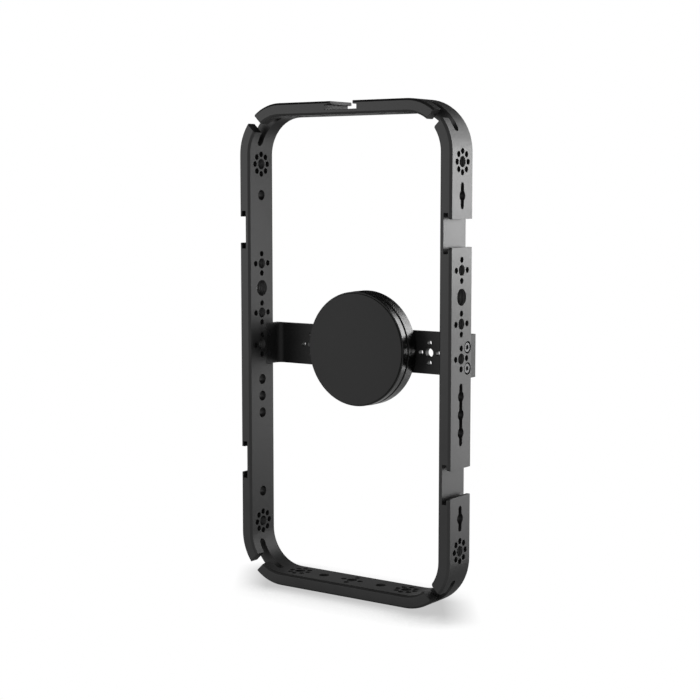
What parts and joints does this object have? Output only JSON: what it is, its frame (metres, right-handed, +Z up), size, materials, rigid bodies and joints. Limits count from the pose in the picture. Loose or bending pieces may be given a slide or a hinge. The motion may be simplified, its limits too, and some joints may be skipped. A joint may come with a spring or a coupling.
{
  "type": "phone cage",
  "caption": "Open rounded frame that holds a phone on a swivelling magnetic puck with a knurled lock ring, edged with tapped holes, cold shoes and corner strap slots.",
  "frame": {"origin": "middle of the bottom rail's outer face, at the middle of the rail's depth", "axes": "+X to the right seen from the front, +Y from the front to the back, +Z up along the cage's long side"},
  "size_m": [0.124, 0.03, 0.24],
  "materials": {
    "anodised_frame": "bead-blasted and anodised black, satin",
    "anodised_bracket": "anodised deep black, satin",
    "polished_anodised": "polished and anodised black, glossy",
    "black_steel": "black oxide, satin",
    "bright_steel": "turned",
    "nickel": "nickel plated",
    "silicone": "matte silicone",
    "seal_rubber": "matte",
    "brake_fibre": "matte fibre",
    "nylon": "matte",
    "adhesive_film": "thin film"
  },
  "bodies": {
    "cage": {"cage_frame": "anodised_frame", "cross_bracket": "anodised_bracket", "bracket_screws": "black_steel", "mount_hub": "anodised_frame", "mount_screw": "bright_steel", "spring_washer": "bright_steel", "anti_twist_pins": "bright_steel", "friction_disc": "brake_fibre"},
    "lock_ring": {"lock_ring": "polished_anodised", "stop_screw": "bright_steel", "glide_washer": "nylon"},
    "magnet_head": {"head_housing": "polished_anodised", "face_pad": "silicone", "pad_adhesive": "adhesive_film", "magnet_segments": "nickel", "magnet_yoke": "bright_steel", "swivel_flange": "bright_steel", "flange_screws": "bright_steel", "drag_ring": "seal_rubber"}
  },
  "joints": [
    {"name": "head_swivel", "type": "hinge", "parent": "cage", "child": "magnet_head", "pos_m": [0, 0.0029, 0.1206], "axis": [0, -1, 0], "continuous": true},
    {"name": "lock_ring_turn", "type": "hinge", "parent": "cage", "child": "lock_ring", "pos_m": [0, 0.0106, 0.1206], "axis": [0, -1, 0], "range_deg": [0, 60]}
  ]
}
